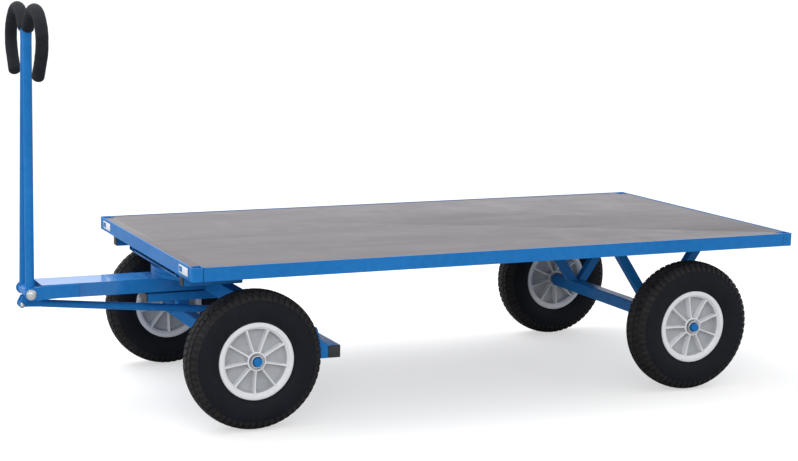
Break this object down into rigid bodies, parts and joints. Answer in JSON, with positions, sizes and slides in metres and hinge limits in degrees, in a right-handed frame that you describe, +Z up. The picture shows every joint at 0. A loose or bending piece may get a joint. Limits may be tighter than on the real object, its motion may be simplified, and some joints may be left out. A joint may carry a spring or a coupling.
{
  "type": "platform trolley",
  "caption": "Flat-deck platform trolley with steel frame, turntable-steered front bogie, pneumatic tyres and a foam-gripped drawbar that works a tyre brake.",
  "frame": {"origin": "on the floor, under the middle of the whole trolley's box with the drawbar parked upright", "axes": "+X forward, from the deck towards the drawbar; +Y to the trolley's left; +Z up"},
  "size_m": [2.3857, 1, 1.2096],
  "materials": {
    "blue_paint": "satin",
    "board": "smooth film-faced",
    "tyre_rubber": "matte",
    "rim_plastic": "satin",
    "zinc": "zinc plated",
    "grip_foam": "soft foam"
  },
  "bodies": {
    "chassis": {"corner_tube_left": "blue_paint", "corner_tube_right": "blue_paint", "cross_member_1": "blue_paint", "cross_member_2": "blue_paint", "cross_member_3": "blue_paint", "deck_board": "board", "long_member_left": "blue_paint", "long_member_right": "blue_paint", "rail_front": "blue_paint", "rail_left": "blue_paint", "rail_rear": "blue_paint", "rail_right": "blue_paint", "rear_axle_bar": "blue_paint", "rear_axle_beam": "blue_paint", "rear_strut_left_front": "blue_paint", "rear_strut_left_rear": "blue_paint", "rear_strut_right_front": "blue_paint", "rear_strut_right_rear": "blue_paint", "socket_front_left": "blue_paint", "socket_front_right": "blue_paint", "socket_rear_left": "blue_paint", "socket_rear_right": "blue_paint", "turntable_plate": "blue_paint", "turntable_upper_ring": "blue_paint"},
    "steering": {"arm_stay": "blue_paint", "front_axle_bar": "blue_paint", "front_axle_beam": "blue_paint", "front_post_left": "blue_paint", "front_post_right": "blue_paint", "hinge_bolt": "zinc", "hinge_cheek_left": "blue_paint", "hinge_cheek_right": "blue_paint", "hinge_nut": "zinc", "steering_arm": "blue_paint", "steering_bolster": "blue_paint", "turntable_lower_ring": "blue_paint"},
    "drawbar": {"brake_lever_left": "blue_paint", "brake_lever_right": "blue_paint", "drawbar_barrel": "blue_paint", "drawbar_tube_left": "blue_paint", "drawbar_tube_right": "blue_paint", "grip_left": "grip_foam", "grip_right": "grip_foam"},
    "brake": {"brake_beam": "blue_paint", "brake_rod": "blue_paint", "brake_shoe_left": "blue_paint", "brake_shoe_right": "blue_paint"},
    "wheel_front_left": {"bearing_front_left": "zinc", "rim_front_left": "rim_plastic", "tyre_front_left": "tyre_rubber"},
    "wheel_front_right": {"bearing_front_right": "zinc", "rim_front_right": "rim_plastic", "tyre_front_right": "tyre_rubber"},
    "wheel_rear_left": {"bearing_rear_left": "zinc", "rim_rear_left": "rim_plastic", "tyre_rear_left": "tyre_rubber"},
    "wheel_rear_right": {"bearing_rear_right": "zinc", "rim_rear_right": "rim_plastic", "tyre_rear_right": "tyre_rubber"}
  },
  "joints": [
    {"name": "steering_turn", "type": "hinge", "parent": "chassis", "child": "steering", "pos_m": [0.606, 0, 0.20501], "axis": [0, 0, 1], "range_deg": [-90, 90]},
    {"name": "drawbar_tilt", "type": "hinge", "parent": "steering", "child": "drawbar", "pos_m": [1.168, 0, 0.358], "axis": [0, 1, 0], "range_deg": [0, 110]},
    {"name": "brake_slide", "type": "slide", "parent": "steering", "child": "brake", "axis": [1, 0, 0], "range_m": [-0.06, 0]},
    {"name": "wheel_front_left_spin", "type": "hinge", "parent": "steering", "child": "wheel_front_left", "pos_m": [0.606, 0.43, 0.20501], "axis": [0, 1, 0], "continuous": true},
    {"name": "wheel_front_right_spin", "type": "hinge", "parent": "steering", "child": "wheel_front_right", "pos_m": [0.606, -0.43, 0.20501], "axis": [0, 1, 0], "continuous": true},
    {"name": "wheel_rear_left_spin", "type": "hinge", "parent": "chassis", "child": "wheel_rear_left", "pos_m": [-0.857, 0.43, 0.20501], "axis": [0, 1, 0], "continuous": true},
    {"name": "wheel_rear_right_spin", "type": "hinge", "parent": "chassis", "child": "wheel_rear_right", "pos_m": [-0.857, -0.43, 0.20501], "axis": [0, 1, 0], "continuous": true}
  ],
  "couplings": [
    {"joint": "brake_slide", "follows": "drawbar_tilt", "m_per_rad": -0.0311}
  ]
}
